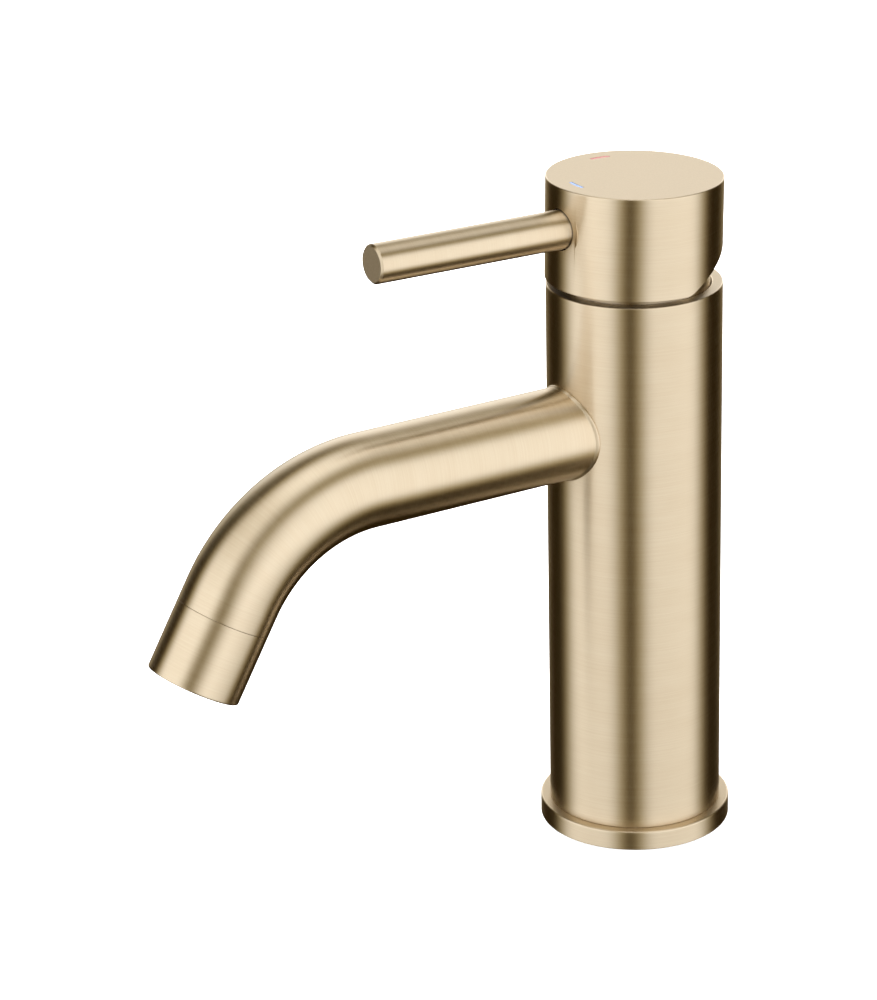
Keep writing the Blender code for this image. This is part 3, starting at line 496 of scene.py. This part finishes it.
def make_base(finishes):
    """Flange with a softly rounded top edge, and the rubber ring that it hides."""
    low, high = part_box("base_flange")
    seal_low, seal_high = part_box("base_seal")
    radius = radius_of("base_flange")
    seal_radius = radius_of("base_seal")
    bore = seal_radius - SEAL_WIDTH - SEAL_RECESS
    recess = seal_radius + SEAL_RECESS
    recess_top = seal_high.z + SEAL_RECESS
    flange = turned("base_flange_ring", rounded([
        (radius, low.z, FLANGE_EDGE),
        (radius, high.z, FLANGE_ROUND),
        (bore, high.z, FLANGE_EDGE),
        (bore, recess_top, FLANGE_EDGE),
        (recess, recess_top),
        (recess, low.z, FLANGE_EDGE),
    ]), BROAD)
    place_piece(flange, "fixed_body", ["base_flange"], finishes, "champagne_gold", satin_top=True)
    seal = turned("base_seal_ring", rounded([
        (seal_radius, seal_low.z, SEAL_ROUND),
        (seal_radius, seal_high.z, SEAL_ROUND),
        (seal_radius - SEAL_WIDTH, seal_high.z, SEAL_ROUND),
        (seal_radius - SEAL_WIDTH, seal_low.z, SEAL_ROUND),
    ]), MEDIUM)
    place_piece(seal, "fixed_body", ["base_seal"], finishes, "rubber")


def make_column(finishes):
    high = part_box("body_column")[1]
    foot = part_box("base_flange")[1].z + FOOT_GAP
    column = turned("column", rounded([
        (COLUMN_RADIUS, foot, COLUMN_FOOT_ROUND),
        (COLUMN_RADIUS, high.z, COLUMN_ROUND),
        (COLUMN_UPPER_BORE, high.z, COLUMN_ROUND),
        (COLUMN_UPPER_BORE, COLUMN_LEDGE),
        (COLUMN_LOWER_BORE, COLUMN_LEDGE, COLUMN_ROUND),
        (COLUMN_LOWER_BORE, foot, COLUMN_FOOT_ROUND),
    ]), BROAD)
    axis = Vector((0, 0, SPOUT_HEIGHT))
    reach = axis + Vector((0, -2 * COLUMN_RADIUS, 0))
    combine(column, [bar(SPOUT_RADIUS + FIT / 2, axis, reach, MEDIUM)])
    place_piece(column, "fixed_body", ["body_column"], finishes, "champagne_gold", satin_top=True)


def make_dome(finishes):
    """Trim ring over the cartridge: its outer line is a quarter of an ellipse."""
    low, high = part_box("dome_ring")
    radius = radius_of("dome_ring")
    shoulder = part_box("body_column")[1].z
    rise = high.z - shoulder
    outline = [Vector((radius, low.z)), Vector((radius, shoulder - HOLD))]
    for step in range(DOME_STEPS + 1):
        turn = math.pi / 2 * step / DOME_STEPS
        inset = DOME_RUN * (1 - math.cos(turn))
        outline.append(Vector((radius - inset, shoulder + rise * math.sin(turn))))
    outline += rounded([
        (radius - DOME_RUN, high.z),
        (DOME_HOLE, high.z, COLUMN_ROUND),
        (DOME_HOLE, high.z - DOME_WALL, COLUMN_ROUND),
        (radius - DOME_RUN - DOME_WALL, high.z - DOME_WALL),
        (radius - DOME_WALL, shoulder),
        (radius - DOME_WALL, low.z),
        (radius, low.z),
    ])[1:-1]
    dome = turned("cartridge_dome", outline, BROAD)
    place_piece(dome, "fixed_body", ["dome_ring"], finishes, "champagne_gold")


# ---- Spout --------------------------------------------------------------------------------------

BEND_LENGTH = SPOUT_BEND_RADIUS * SPOUT_BEND
SPOUT_LENGTH = SPOUT_STRAIGHT + BEND_LENGTH + SPOUT_END


def spout_axis(distance):
    """Centre and direction of the spout at a distance from the column's axis."""
    bent = min(max(distance - SPOUT_STRAIGHT, 0), BEND_LENGTH) / SPOUT_BEND_RADIUS
    centre = Vector((0, -min(distance, SPOUT_STRAIGHT), SPOUT_HEIGHT))
    centre.y -= SPOUT_BEND_RADIUS * math.sin(bent)
    centre.z -= SPOUT_BEND_RADIUS * (1 - math.cos(bent))
    direction = Vector((0, -math.cos(bent), -math.sin(bent)))
    centre += direction * max(distance - SPOUT_STRAIGHT - BEND_LENGTH, 0)
    return centre, direction


def spout_point(distance, radius, turn):
    centre, direction = spout_axis(distance)
    across = Vector((1, 0, 0))
    upward = direction.cross(across)
    return centre + (across * math.cos(turn) + upward * math.sin(turn)) * radius


def saddle(radius, turn):
    """Distance from the column's axis at which a line along the spout meets the column's surface."""
    return math.sqrt(COLUMN_RADIUS ** 2 - (radius * math.cos(turn)) ** 2)


def make_spout(finishes):
    """Bent tube with a thin rolled lip that lies on the column, and a spigot for the aerator's housing."""
    seam = SPOUT_LENGTH - HOUSING_LENGTH - SEAM_GAP
    bore = SPOUT_RADIUS - SPOUT_WALL
    turns = [2 * math.pi * i / MEDIUM for i in range(MEDIUM)]
    level = COLUMN_RADIUS + LIP_SETTLE

    rows = [[(SPOUT_ROOT, SPOUT_RADIUS)] * MEDIUM]
    for run, rise in LIP_OUTLINE:
        radius = SPOUT_RADIUS + rise * LIP_REACH
        rows.append([(saddle(radius, a) + run * LIP_LENGTH, radius) for a in turns])
    starts = [distance for distance, radius in rows[-1]]
    for step in range(1, LIP_FAN_STEPS + 1):
        share = step / LIP_FAN_STEPS
        rows.append([(start + (level - start) * share, SPOUT_RADIUS) for start in starts])
    stops = [level + (SPOUT_STRAIGHT - level) * i / STRAIGHT_STEPS for i in range(1, STRAIGHT_STEPS + 1)]
    stops += [SPOUT_STRAIGHT + BEND_LENGTH * i / BEND_STEPS for i in range(1, BEND_STEPS + 1)]
    for stop in stops:
        rows.append([(stop, SPOUT_RADIUS)] * MEDIUM)
    end = rounded([
        (SPOUT_RADIUS, stops[-1]),
        (SPOUT_RADIUS, seam, SPOUT_EDGE_ROUND),
        (SPIGOT_RADIUS, seam),
        (SPIGOT_RADIUS, seam + SPIGOT_LENGTH, SPOUT_EDGE_ROUND),
        (SPIGOT_RADIUS - SPOUT_WALL, seam + SPIGOT_LENGTH, SPOUT_EDGE_ROUND),
        (SPIGOT_RADIUS - SPOUT_WALL, seam - SPOUT_WALL),
        (bore, seam - SPOUT_WALL),
    ])
    for radius, stop in end[1:]:
        rows.append([(stop, radius)] * MEDIUM)
    for stop in reversed(stops[:-1]):
        rows.append([(stop, bore)] * MEDIUM)
    rows.append([(SPOUT_ROOT, bore)] * MEDIUM)

    points = [[spout_point(d, r, a) for (d, r), a in zip(row, turns)] for row in rows]
    straight = []
    for row in rows:
        straight += [Vector((r * math.cos(a), r * math.sin(a), d)) for (d, r), a in zip(row, turns)]
    spout = skin("spout", points)
    lay_grain(spout, straight)
    place_piece(spout, "fixed_body", ["spout_tube"], finishes, "champagne_gold")


def outlet_frame():
    """The spout's end: Z runs back into the spout from the outlet's face."""
    tip, direction = spout_axis(SPOUT_LENGTH)
    turn = Vector((0, 0, 1)).rotation_difference(-direction)
    return Matrix.Translation(tip) @ turn.to_matrix().to_4x4()


def make_housing(finishes):
    where = outlet_frame()
    seat = HOUSING_LENGTH - SPIGOT_LENGTH
    housing = turned("spout_end", rounded([
        (SPOUT_RADIUS, 0, HOUSING_RIM_ROUND),
        (SPOUT_RADIUS, HOUSING_LENGTH, SPOUT_EDGE_ROUND),
        (SPIGOT_RADIUS + FIT, HOUSING_LENGTH, SPOUT_EDGE_ROUND),
        (SPIGOT_RADIUS + FIT, seat),
        (HOUSING_BORE, seat),
        (HOUSING_BORE, HOUSING_LIP),
        (HOUSING_LIP_BORE, HOUSING_LIP, SPOUT_EDGE_ROUND),
        (HOUSING_LIP_BORE, 0, HOUSING_RIM_ROUND),
    ]), MEDIUM)
    place_piece(housing, "fixed_body", ["aerator_housing"], finishes, "champagne_gold", where)


def hexagon_net():
    """Honeycomb of NET_CELL cells over a disc, as one flat sheet with a hole in each cell."""
    bm = bmesh.new()
    reach = math.ceil(NET_RADIUS / NET_CELL) + 1
    side = NET_CELL / math.sqrt(3)
    for row in range(-reach, reach + 1):
        for column in range(-reach, reach + 1):
            x = NET_CELL * (column + 0.5 * (row % 2))
            y = row * side * 1.5
            if math.hypot(x, y) < NET_RADIUS:
                turns = [math.radians(30 + 60 * k) for k in range(6)]
                ring = [(x + side * math.cos(a), y + side * math.sin(a), 0) for a in turns]
                bm.faces.new([bm.verts.new(point) for point in ring])
    bmesh.ops.remove_doubles(bm, verts=bm.verts, dist=side / 20)
    cells = list(bm.faces)
    bmesh.ops.inset_individual(bm, faces=cells, thickness=NET_WALL / 2)
    bmesh.ops.delete(bm, geom=cells, context="FACES")
    return bm


def make_insert(finishes):
    """Aerator's cup: a honeycomb outlet in a rim with four key notches."""
    bm = hexagon_net()
    sheet = list(bm.faces)
    pulled = bmesh.ops.extrude_face_region(bm, geom=sheet)
    moved = [item for item in pulled["geom"] if isinstance(item, bmesh.types.BMVert)]
    bmesh.ops.translate(bm, verts=moved, vec=(0, 0, NET_DEPTH))
    net = from_bmesh("aerator_net", bm)
    bottom = HOUSING_LIP + FIT
    net.data.transform(Matrix.Translation((0, 0, bottom + FIT)))
    rim = turned("aerator_cup", rounded([
        (INSERT_RADIUS, bottom, CUP_ROUND),
        (INSERT_RADIUS, bottom + INSERT_HEIGHT, CUP_ROUND),
        (INSERT_RADIUS - CUP_WALL, bottom + INSERT_HEIGHT, CUP_ROUND),
        (NET_RADIUS - CUP_OVERLAP, bottom + NET_DEPTH + FIT, CUP_ROUND),
        (NET_RADIUS - CUP_OVERLAP, bottom, CUP_LIP_ROUND),
    ]), MEDIUM)
    notches = []
    for i in range(NOTCH_COUNT):
        low = (NOTCH_START, -NOTCH_HALF, bottom - OVERCUT)
        notch = block(low, (NOTCH_END, NOTCH_HALF, bottom + NOTCH_DEPTH))
        notch.data.transform(Matrix.Rotation(2 * math.pi * i / NOTCH_COUNT, 4, "Z"))
        notches.append(notch)
    combine(rim, notches)
    where = outlet_frame()
    place_piece(rim, "fixed_body", ["aerator_insert"], finishes, "acetal", where)
    place_piece(net, "fixed_body", ["aerator_insert"], finishes, "acetal", where)


# ---- Handle -------------------------------------------------------------------------------------

def handle_frame():
    """The pivot, tipped up a little as the closed lever is. Every piece of the handle is placed in it."""
    pivot = next(joint["pos_m"] for joint in frame["joints"] if joint["name"] == "lever_lift")
    return Matrix.Translation(pivot) @ Matrix.Rotation(-REST_LIFT, 4, "X")


def cap_frame():
    return handle_frame() @ Matrix.Translation((0, -CAP_FORWARD, 0))


def relief_cutter():
    """Clears the cap's rear underside: flat, then a gentle round, then a slope up to the back."""
    far = 3 * COLUMN_RADIUS
    slope = (math.cos(RELIEF_ANGLE), math.sin(RELIEF_ANGLE))
    run = RELIEF_ROUND * math.tan(RELIEF_ANGLE / 2)
    outline = []
    steps = 12
    for step in range(steps + 1):
        turn = RELIEF_ANGLE * step / steps
        y = RELIEF_START - run + RELIEF_ROUND * math.sin(turn)
        outline.append((y, CAP_BOTTOM + RELIEF_ROUND * (1 - math.cos(turn))))
    outline.append((RELIEF_START + far * slope[0], CAP_BOTTOM + far * slope[1]))
    outline.append((RELIEF_START + far * slope[0], CAP_BOTTOM - far))
    outline.append((RELIEF_START - run, CAP_BOTTOM - far))
    return extruded(outline, far)


def mark_bar(bearing, grow, low, high, chamfer=0.0):
    """A short curved bar about the cap's axis, bigger by grow all round."""
    half_arc = MARK_ARC / 2 + grow / MARK_RADIUS
    inner = MARK_RADIUS - MARK_WIDTH / 2 - grow
    outer = MARK_RADIUS + MARK_WIDTH / 2 + grow
    rows = []
    for step in range(MARK_STEPS + 1):
        turn = bearing - half_arc + 2 * half_arc * step / MARK_STEPS
        spoke = Vector((math.cos(turn), math.sin(turn), 0))
        if chamfer:
            section = [(inner, low), (outer, low), (outer, high - chamfer), (outer - chamfer, high)]
            section += [(inner + chamfer, high), (inner, high - chamfer)]
        else:
            section = [(inner, low), (outer, low), (outer, high), (inner, high)]
        rows.append([spoke * radius + Vector((0, 0, height)) for radius, height in section])
    return skin("mark_bar", rows, closed=False)


def make_cap(finishes):
    """Turned shell with its inner bosses, lever hole, rear relief and the two pockets for the marks."""
    cavity = COLUMN_RADIUS - CAP_WALL
    ceiling = CAP_TOP - CAP_CEILING
    cap = turned("lever_cap", [Vector((0, ceiling)), *rounded([
        (cavity, ceiling, CAP_WALL),
        (cavity, CAP_BOTTOM, CAP_ROUND / 2),
        (COLUMN_RADIUS, CAP_BOTTOM, CAP_ROUND),
        (COLUMN_RADIUS, CAP_TOP, CAP_ROUND),
        (0, CAP_TOP),
        (0, ceiling),
    ])[:-2], Vector((0, CAP_TOP))], BROAD)

    to_cap = Matrix.Translation((0, CAP_FORWARD, 0))
    inside_top = CAP_TOP - CAP_CEILING / 2
    lever_axis = Vector((0, 0, LEVER_HEIGHT))
    in_wall = lever_axis + Vector((0, CAP_WALL / 2 - COLUMN_RADIUS, 0))
    way = Vector((0, math.cos(GRUB_SLOPE), -math.sin(GRUB_SLOPE)))
    pad_start = to_cap @ Vector((0, GRUB_START, GRUB_HEIGHT))
    combine(cap, [
        bar(BOSS_RADIUS, (0, CAP_FORWARD, BOSS_BOTTOM), (0, CAP_FORWARD, inside_top)),
        bar(BOSS_RADIUS - FIT, lever_axis, in_wall),
        bar(GRUB_PAD_RADIUS, pad_start - way * FIT, pad_start + way * GRUB_LENGTH),
    ], "UNION")

    outside = lever_axis + Vector((0, -2 * COLUMN_RADIUS, 0))
    half = STEM_SIDE / 2 + FIT
    stem_hole = block((-half, CAP_FORWARD - half, 0), (half, CAP_FORWARD + half, STEM_TOP + FIT))
    cutters = [
        stem_hole,
        bar(LEVER_RADIUS + FIT, lever_axis + Vector((0, FIT - LEVER_ROOT, 0)), outside, MEDIUM),
        bar(GRUB_BORE, pad_start - way * GRUB_START, pad_start + way * 2 * BOSS_RADIUS),
        relief_cutter(),
    ]
    for bearing in (HOT_BEARING, COLD_BEARING):
        cutters.append(mark_bar(bearing, MARK_GAP, CAP_TOP - MARK_DEPTH - MARK_GAP, CAP_TOP + OVERCUT))
    combine(cap, cutters)
    place_piece(cap, "handle", ["handle_cap"], finishes, "champagne_gold", satin_top=True)
    # The faces inside the cap take the dark brown finish, which paints the shade in the gap under the cap.
    inside = len(cap.data.materials)
    cap.data.materials.append(finishes["cap_inside"])
    for face in cap.data.polygons:
        if face.center.xy.length < cavity + CAP_ROUND and face.center.z < ceiling + FIT:
            face.material_index = inside
    cap.data.transform(cap_frame())


def make_marks(finishes):
    """The enamel in the cap's two pockets."""
    for name, bearing, slot in (
        ("hot_mark", HOT_BEARING, "red_enamel"),
        ("cold_mark", COLD_BEARING, "blue_enamel"),
    ):
        mark = mark_bar(bearing, 0, CAP_TOP - MARK_DEPTH, CAP_TOP - MARK_SINK, MARK_CHAMFER)
        mark.name = name + "_enamel"
        place_piece(mark, "handle", [name], finishes, slot, cap_frame())


def make_lever(finishes):
    """Rod lever with a small chamfer round its flat tip. Its heights run out from the cap's axis."""
    lever = turned("lever", [Vector((0, LEVER_BORE_END)), *rounded([
        (LEVER_BORE, LEVER_BORE_END),
        (LEVER_BORE, LEVER_ROOT),
        (LEVER_RADIUS, LEVER_ROOT, LEVER_TIP_ROUND),
        (LEVER_RADIUS, LEVER_TIP - LEVER_CHAMFER, LEVER_TIP_ROUND),
        (LEVER_RADIUS - LEVER_CHAMFER, LEVER_TIP, LEVER_TIP_ROUND),
        (0, LEVER_TIP),
        (0, LEVER_BORE_END),
    ])[:-2], Vector((0, LEVER_TIP))], MEDIUM)
    lay = Matrix.Translation((0, 0, LEVER_HEIGHT)) @ Matrix.Rotation(math.pi / 2, 4, "X")
    place_piece(lever, "handle", ["lever_rod"], finishes, "champagne_gold", cap_frame() @ lay, satin_top=True)


# ---- Inner pieces, stage, light and camera ------------------------------------------------------

def finish_inner_pieces(finishes):
    """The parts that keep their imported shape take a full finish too."""
    slots = {part["node"]: part["material_slot"] for part in frame["record"]["subparts"]}
    for name, obj in frame["nodes"].items():
        if not obj.hide_render:
            obj.data.materials.clear()
            obj.data.materials.append(finishes[slots[name]])


def make_stage():
    """A white cove: floor, curve, wall and roof in one sheet. The tap doesn't reflect it."""
    outline = [(0.0, 0.0)]
    steps = 12
    for step in range(steps + 1):
        turn = math.pi / 2 * step / steps
        across = COVE_RADIUS - COVE_CURVE * (1 - math.sin(turn))
        outline.append((across, COVE_CURVE * (1 - math.cos(turn))))
    outline.append((COVE_RADIUS, COVE_HEIGHT))
    outline.append((0.0, COVE_HEIGHT))
    cove = turned("cove", outline, NARROW)
    cove.data.transform(Matrix.Translation((0, 0, -COVE_DROP)))
    cove.data.shade_smooth()
    material, tree, shader = new_finish("cove_white_paper")
    place = add(tree, "ShaderNodeTexCoord").outputs["Object"]
    fibre = add(tree, "ShaderNodeTexNoise", {"Scale": 1 / (2 * MM), "Detail": 2.0}, Vector=place)
    tones = {"data_type": "RGBA", 6: paint(0xEDEDED), 7: paint(0xF4F4F4)}
    colour = add(tree, "ShaderNodeMix", tones, _0=fibre.outputs["Fac"])
    connect(tree, colour.outputs[2], shader, "Base Color")
    shader.inputs["Roughness"].default_value = 0.9
    shader.inputs["Specular IOR Level"].default_value = 0.0
    shader.inputs["Emission Color"].default_value = (1, 1, 1, 1)
    shader.inputs["Emission Strength"].default_value = 0.75
    cove.data.materials.append(material)
    cove.visible_glossy = False
    cove.visible_shadow = False


# The light tent, as the tap sees it: a cloth on each side of the lens with a dark slot between them, one
# behind the tap and one for a ceiling. All are in degrees, with bearings from the camera's side and
# counter-clockwise seen from above. The slot reaches further to the left, so the dark band down the column
# lies a little left of its middle.
SLOT_LEFT = -20
SLOT_RIGHT = 10
SIDE_REACH = 95  # bearing of the side cloths' far edges
SIDE_BOTTOM = -35
SIDE_TOP = 45
SIDE_BRIGHTNESS = 1.3
REAR_LEFT = 150
REAR_RIGHT = 210
REAR_BOTTOM = -5
REAR_TOP = 35
REAR_BRIGHTNESS = 1.5
CEILING_BOTTOM = 65
CEILING_TOP = 180 - CEILING_BOTTOM  # over the top, to the same height on the far side
CEILING_BRIGHTNESS = 1.5
CLOTH_EDGE = 18  # half the width of a cloth's soft edge
ALL_ROUND = 180 + CLOTH_EDGE  # past its own soft edge, so the ceiling has no seam
TENT_SHADE = 0.02  # dim light that fills the dark parts
TENT_STRENGTH = 1.06
# The cloths are cream: where their light is dim it is warmer. Powers of the brightness for green and blue.
DIM_GREEN = 0.16
DIM_BLUE = 0.65


def near_to(tree, angle, half):
    """1 where an angle is within half of nought, falling softly to 0 across the cloth's edge."""
    size = add(tree, "ShaderNodeMath", {"operation": "ABSOLUTE"}, _0=angle)
    fall = {
        "interpolation_type": "SMOOTHSTEP",
        "From Min": math.radians(half + CLOTH_EDGE),
        "From Max": math.radians(half - CLOTH_EDGE),
    }
    return add(tree, "ShaderNodeMapRange", fall, Value=size.outputs[0]).outputs["Result"]


def cloth(tree, way, left, right, bottom, top, brightness):
    """One soft-edged patch of light between two bearings and two elevations, as brightness by direction."""
    bearing = (left + right) / 2
    elevation = (bottom + top) / 2
    facing = math.atan2(CAMERA_PLACE[1], CAMERA_PLACE[0])
    spin = {"rotation_type": "Z_AXIS", "Angle": -facing - math.radians(bearing)}
    turned_way = add(tree, "ShaderNodeVectorRotate", spin, Vector=way).outputs["Vector"]
    parts = add(tree, "ShaderNodeSeparateXYZ", None, Vector=turned_way)
    sideways = {"operation": "ARCTAN2"}
    aside = add(tree, "ShaderNodeMath", sideways, _0=parts.outputs["Y"], _1=parts.outputs["X"])
    rise = add(tree, "ShaderNodeMath", {"operation": "ARCSINE"}, _0=parts.outputs["Z"])
    above = {"operation": "SUBTRACT", 1: math.radians(elevation)}
    over = add(tree, "ShaderNodeMath", above, _0=rise.outputs[0])
    across = near_to(tree, aside.outputs[0], (right - left) / 2)
    upright = near_to(tree, over.outputs[0], (top - bottom) / 2)
    patch = add(tree, "ShaderNodeMath", {"operation": "MULTIPLY"}, _0=across, _1=upright)
    lit = {"operation": "MULTIPLY", 1: brightness}
    return add(tree, "ShaderNodeMath", lit, _0=patch.outputs[0]).outputs[0]


def make_light():
    """The world's light: the tent's cloths, over a dim fill."""
    world = bpy.data.worlds.new("light_tent")
    world.use_nodes = True
    bpy.context.scene.world = world
    tree = world.node_tree
    way = add(tree, "ShaderNodeTexCoord").outputs["Generated"]
    patches = [
        cloth(tree, way, -SIDE_REACH, SLOT_LEFT, SIDE_BOTTOM, SIDE_TOP, SIDE_BRIGHTNESS),
        cloth(tree, way, SLOT_RIGHT, SIDE_REACH, SIDE_BOTTOM, SIDE_TOP, SIDE_BRIGHTNESS),
        cloth(tree, way, REAR_LEFT, REAR_RIGHT, REAR_BOTTOM, REAR_TOP, REAR_BRIGHTNESS),
        cloth(tree, way, -ALL_ROUND, ALL_ROUND, CEILING_BOTTOM, CEILING_TOP, CEILING_BRIGHTNESS),
    ]
    whole = add(tree, "ShaderNodeMath", {"operation": "ADD", 1: TENT_SHADE}, _0=patches[0]).outputs[0]
    for patch in patches[1:]:
        whole = add(tree, "ShaderNodeMath", {"operation": "ADD"}, _0=whole, _1=patch).outputs[0]
    dimness = add(tree, "ShaderNodeMath", {"operation": "MINIMUM", 1: 1.0}, _0=whole).outputs[0]
    channels = [whole]
    for power in (DIM_GREEN, DIM_BLUE):
        tint = add(tree, "ShaderNodeMath", {"operation": "POWER", 1: power}, _0=dimness).outputs[0]
        channels.append(add(tree, "ShaderNodeMath", {"operation": "MULTIPLY"}, _0=whole, _1=tint).outputs[0])
    colour = add(tree, "ShaderNodeCombineColor", None, _0=channels[0], _1=channels[1], _2=channels[2])
    background = tree.nodes["Background"]
    connect(tree, colour.outputs["Color"], background, "Color")
    background.inputs["Strength"].default_value = TENT_STRENGTH
    bpy.context.scene.view_settings.view_transform = "Standard"


def make_camera():
    data = bpy.data.cameras.new("camera")
    data.lens = CAMERA_LENS
    data.clip_start = 0.01
    data.clip_end = 4 * COVE_RADIUS
    camera = bpy.data.objects.new("camera", data)
    bpy.context.scene.collection.objects.link(camera)
    aim = Euler((CAMERA_TILT, 0, CAMERA_BEARING)).to_matrix().to_4x4()
    camera.matrix_world = Matrix.Translation(CAMERA_PLACE) @ aim @ Matrix.Rotation(CAMERA_ROLL, 4, "Z")
    bpy.context.scene.camera = camera


def main():
    finishes = make_finishes()
    make_base(finishes)
    make_column(finishes)
    make_dome(finishes)
    make_spout(finishes)
    make_housing(finishes)
    make_insert(finishes)
    make_cap(finishes)
    make_marks(finishes)
    make_lever(finishes)
    finish_inner_pieces(finishes)
    make_stage()
    make_light()
    make_camera()


main()
bpy.context.view_layer.update()
